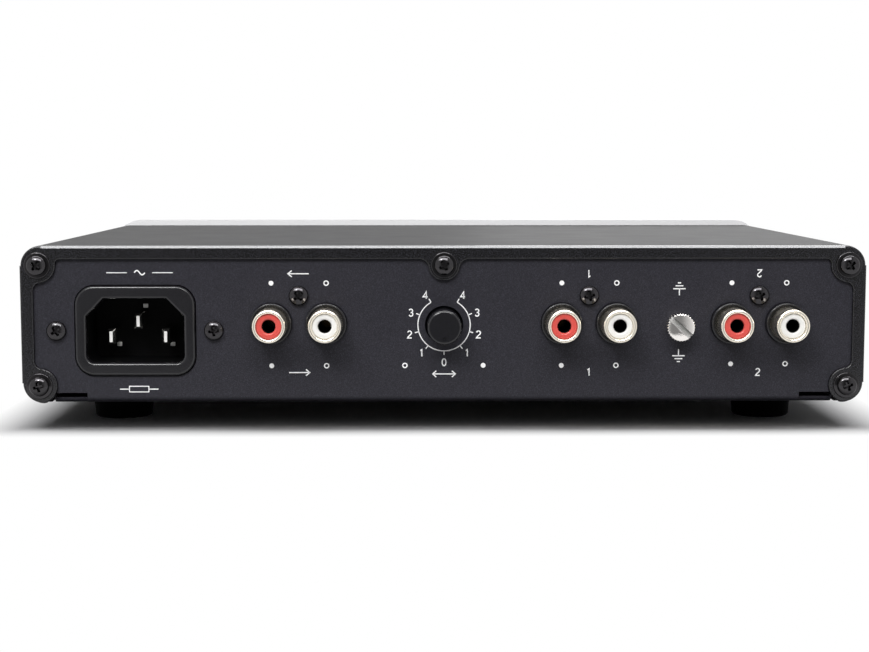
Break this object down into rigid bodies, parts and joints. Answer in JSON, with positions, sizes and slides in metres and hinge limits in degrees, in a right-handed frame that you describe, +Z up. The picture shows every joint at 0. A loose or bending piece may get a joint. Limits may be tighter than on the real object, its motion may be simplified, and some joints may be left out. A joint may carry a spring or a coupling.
{
  "type": "phono preamp",
  "caption": "Half-width phono preamp in an extruded black case: phono sockets, balance knob, ground terminal and mains inlet at the rear, silver fascia with volume knob in front.",
  "frame": {"origin": "middle of the object's box, on the surface that the feet stand on", "axes": "+Z up, +Y out of the rear connector face, -Y out of the front, +X to the right seen from the front"},
  "size_m": [0.215, 0.159, 0.048],
  "materials": {
    "sleeve_coat": "satin black powder coat",
    "rim_coat": "fine textured satin black",
    "chassis_coat": "fine textured satin black",
    "fascia_alloy": "brushed and anodised",
    "zinc_steel": "zinc plated",
    "black_screw": "black oxide",
    "foot_rubber": "matt",
    "black_moulding": "fine matt",
    "nickel": "nickel plated",
    "red_moulding": "gloss",
    "white_moulding": "gloss",
    "contact_brass": "gold flash",
    "knob_plastic": "satin",
    "pot_plastic": "matt",
    "board_laminate": "solder mask",
    "ferrite": "matt",
    "copper_winding": "enamelled copper",
    "capacitor_sleeve": "gloss",
    "heatsink_alloy": "extruded",
    "white_nylon": "matt",
    "chip_epoxy": "matt",
    "film_red": "gloss",
    "relay_case": "matt",
    "ribbon_grey": "matt",
    "lead_brown": "matt",
    "turned_alloy": "turned and anodised",
    "led_lens": "clear"
  },
  "bodies": {
    "case": {"cover_sleeve": "sleeve_coat", "rear_frame": "rim_coat", "chassis": "chassis_coat", "fascia": "fascia_alloy", "front_subframe": "zinc_steel", "frame_screws": "black_screw", "subframe_screws": "zinc_steel", "fascia_screws": "zinc_steel", "foot_front_left": "foot_rubber", "foot_front_right": "foot_rubber", "foot_rear_left": "foot_rubber", "foot_rear_right": "foot_rubber", "foot_screws": "zinc_steel", "mains_inlet_shell": "black_moulding", "inlet_pins": "nickel", "inlet_screws": "black_screw", "inlet_nuts": "zinc_steel", "output_jack_block": "black_moulding", "mm_jack_block": "black_moulding", "mc_jack_block": "black_moulding", "output_jack_sleeves": "nickel", "mm_jack_sleeves": "nickel", "mc_jack_sleeves": "nickel", "red_insulators": "red_moulding", "white_insulators": "white_moulding", "jack_contacts": "contact_brass", "jack_screws": "black_screw", "balance_pot": "pot_plastic", "ground_insert": "nickel", "ground_tag": "contact_brass", "main_board": "board_laminate", "psu_board": "board_laminate", "front_board": "board_laminate", "standoffs": "zinc_steel", "board_screws": "zinc_steel", "psu_transformer": "ferrite", "psu_choke": "copper_winding", "psu_capacitors": "capacitor_sleeve", "psu_heatsink": "heatsink_alloy", "mains_connector": "white_nylon", "opamps": "chip_epoxy", "film_capacitors": "film_red", "electrolytic_capacitors": "capacitor_sleeve", "relays": "relay_case", "ribbon_cables": "ribbon_grey", "mains_leads": "lead_brown", "volume_pot": "pot_plastic", "volume_nut": "zinc_steel", "headphone_jack": "black_moulding", "headphone_ring": "nickel", "push_switches": "chip_epoxy", "status_leds": "led_lens"},
    "balance_control": {"balance_shaft": "nickel", "balance_knob": "knob_plastic"},
    "volume_control": {"volume_shaft": "nickel", "volume_knob": "turned_alloy"},
    "power_button": {"power_button": "turned_alloy"},
    "selector_button": {"selector_button": "turned_alloy"},
    "ground_washer": {"ground_washer": "nickel"},
    "ground_screw": {"ground_screw": "nickel"}
  },
  "joints": [
    {"name": "balance_turn", "type": "hinge", "parent": "case", "child": "balance_control", "pos_m": [0, 0.0705, 0.0261], "axis": [0, 1, 0], "range_deg": [-150, 150]},
    {"name": "volume_turn", "type": "hinge", "parent": "case", "child": "volume_control", "pos_m": [0.074, -0.0685, 0.0263], "axis": [0, -1, 0], "range_deg": [-150, 150]},
    {"name": "power_press", "type": "slide", "parent": "case", "child": "power_button", "axis": [0, 1, 0], "range_m": [0, 0.002], "stiffness_N_per_m": 500, "springref_m": -0.002},
    {"name": "selector_press", "type": "slide", "parent": "case", "child": "selector_button", "axis": [0, 1, 0], "range_m": [0, 0.002], "stiffness_N_per_m": 500, "springref_m": -0.002},
    {"name": "ground_washer_lift", "type": "slide", "parent": "case", "child": "ground_washer", "axis": [0, 1, 0], "range_m": [0, 0.0028]},
    {"name": "ground_screw_turn", "type": "hinge", "parent": "ground_washer", "child": "ground_screw", "pos_m": [-0.06, 0.0705, 0.0257], "axis": [0, 1, 0], "range_deg": [0, 1440.1]}
  ],
  "couplings": [
    {"joint": "ground_screw_turn", "follows": "ground_washer_lift", "rad_per_m": 8976}
  ]
}
